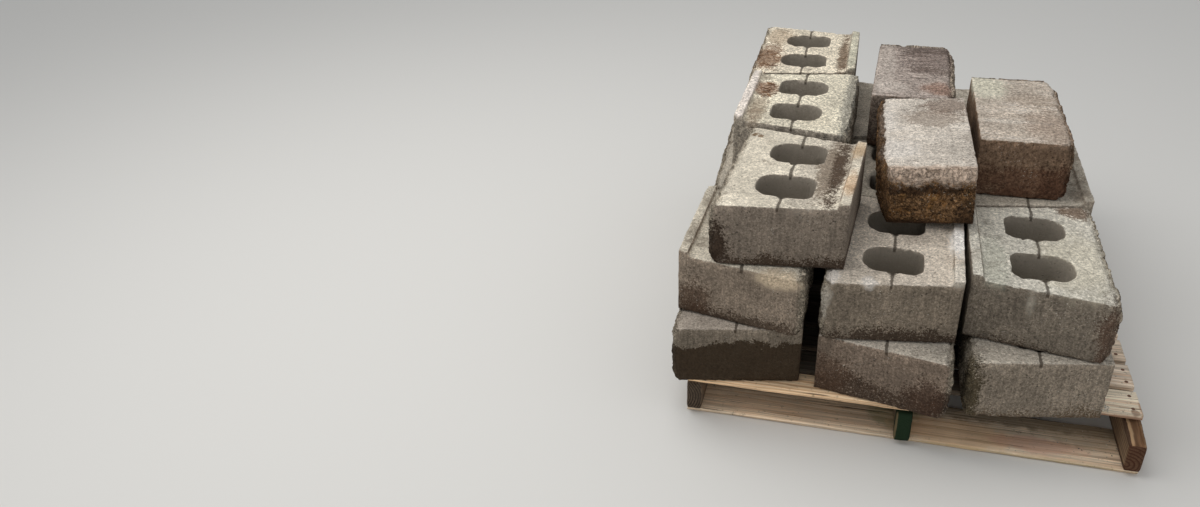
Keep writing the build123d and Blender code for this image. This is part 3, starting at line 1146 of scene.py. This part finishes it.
def drive_nails(places):
    """Two nails through the bare right-hand end of each deck board, over the runner."""
    to_runner, level, head_width, stray_step = 0.489, 0.0143, 0.0085, 0.0016
    spots = []
    for i, node in enumerate(deck_boards, 1):
        stray = (i * 7 % 5 - 2) * stray_step
        for across in (-0.024, 0.023):
            spots.append(places[node] @ Vector((to_runner + stray, across - stray, level)))
    mesh = bpy.data.meshes.new("nail_heads")
    mesh.from_pydata(spots, [], [])
    steel = shaded("rusty_nails", (112, 76, 54), (150, 112, 84), 0.7, metallic=0.2)
    set_out("nail_heads", mesh, nailed(), steel, {"Width": head_width}, "deck_wood")


# Camera, floor and light


def place_camera():
    """Stands where the photo was taken from: near the front, looking down to the left."""
    stand = (-0.1417, -2.4818, 1.552)
    yaw, pitch, roll = (math.radians(angle) for angle in (-16.48, 30.34, -2.33))
    ahead = (math.sin(yaw) * math.cos(pitch), math.cos(yaw) * math.cos(pitch), -math.sin(pitch))
    forward = Vector(ahead)
    level_right = Vector((math.cos(yaw), -math.sin(yaw), 0.0))
    level_up = level_right.cross(forward)
    across = level_right * math.cos(roll) + level_up * math.sin(roll)
    up = level_up * math.cos(roll) - level_right * math.sin(roll)
    camera = new_object("camera", bpy.data.cameras.new("camera"))
    camera.data.sensor_width = 36.0
    camera.data.lens = 29.07
    turn = Matrix((across, up, -forward)).transposed().to_4x4()
    camera.matrix_world = Matrix.Translation(stand) @ turn
    bpy.context.scene.camera = camera


def lay_floor():
    mesh = bpy.data.meshes.new("floor")
    reach = 40.0
    corners = [(-reach, -reach, 0), (reach, -reach, 0), (reach, reach, 0), (-reach, reach, 0)]
    mesh.from_pydata(corners, [], [(0, 1, 2, 3)])
    floor = new_object("floor", mesh)
    material, _, shader = new_material("pale_floor")
    shader.inputs["Base Color"].default_value = tone(214, 211, 205)
    shader.inputs["Roughness"].default_value = 0.9
    mesh.materials.append(material)


def hang_lamp(name, size, energy, place, aim):
    lamp = new_object(name, bpy.data.lights.new(name, "AREA"))
    lamp.data.size = size
    lamp.data.energy = energy
    lamp.location = place
    lamp.rotation_euler = (Vector(aim) - Vector(place)).to_track_quat("-Z", "Y").to_euler()


def light_stage():
    """A large soft lamp high on the left, a weak low one in front and an even sky."""
    hang_lamp("overhead", 3.0, 72.0, (-1.5, -0.3, 3.3), (0.0, 0.0, 0.3))
    hang_lamp("front", 3.0, 12.0, (-0.3, -3.8, 1.0), (0.0, 0.0, 0.2))
    world = bpy.data.worlds.new("sky")
    world.use_nodes = True
    background = world.node_tree.nodes["Background"]
    background.inputs["Color"].default_value = (0.93, 0.96, 1.0, 1.0)
    background.inputs["Strength"].default_value = 0.58
    bpy.context.scene.world = world
    bpy.context.scene.view_settings.view_transform = "Standard"


piece_places = build_load() | build_pallet()
strew_litter(piece_places)
drive_nails(piece_places)
place_camera()
lay_floor()
light_stage()
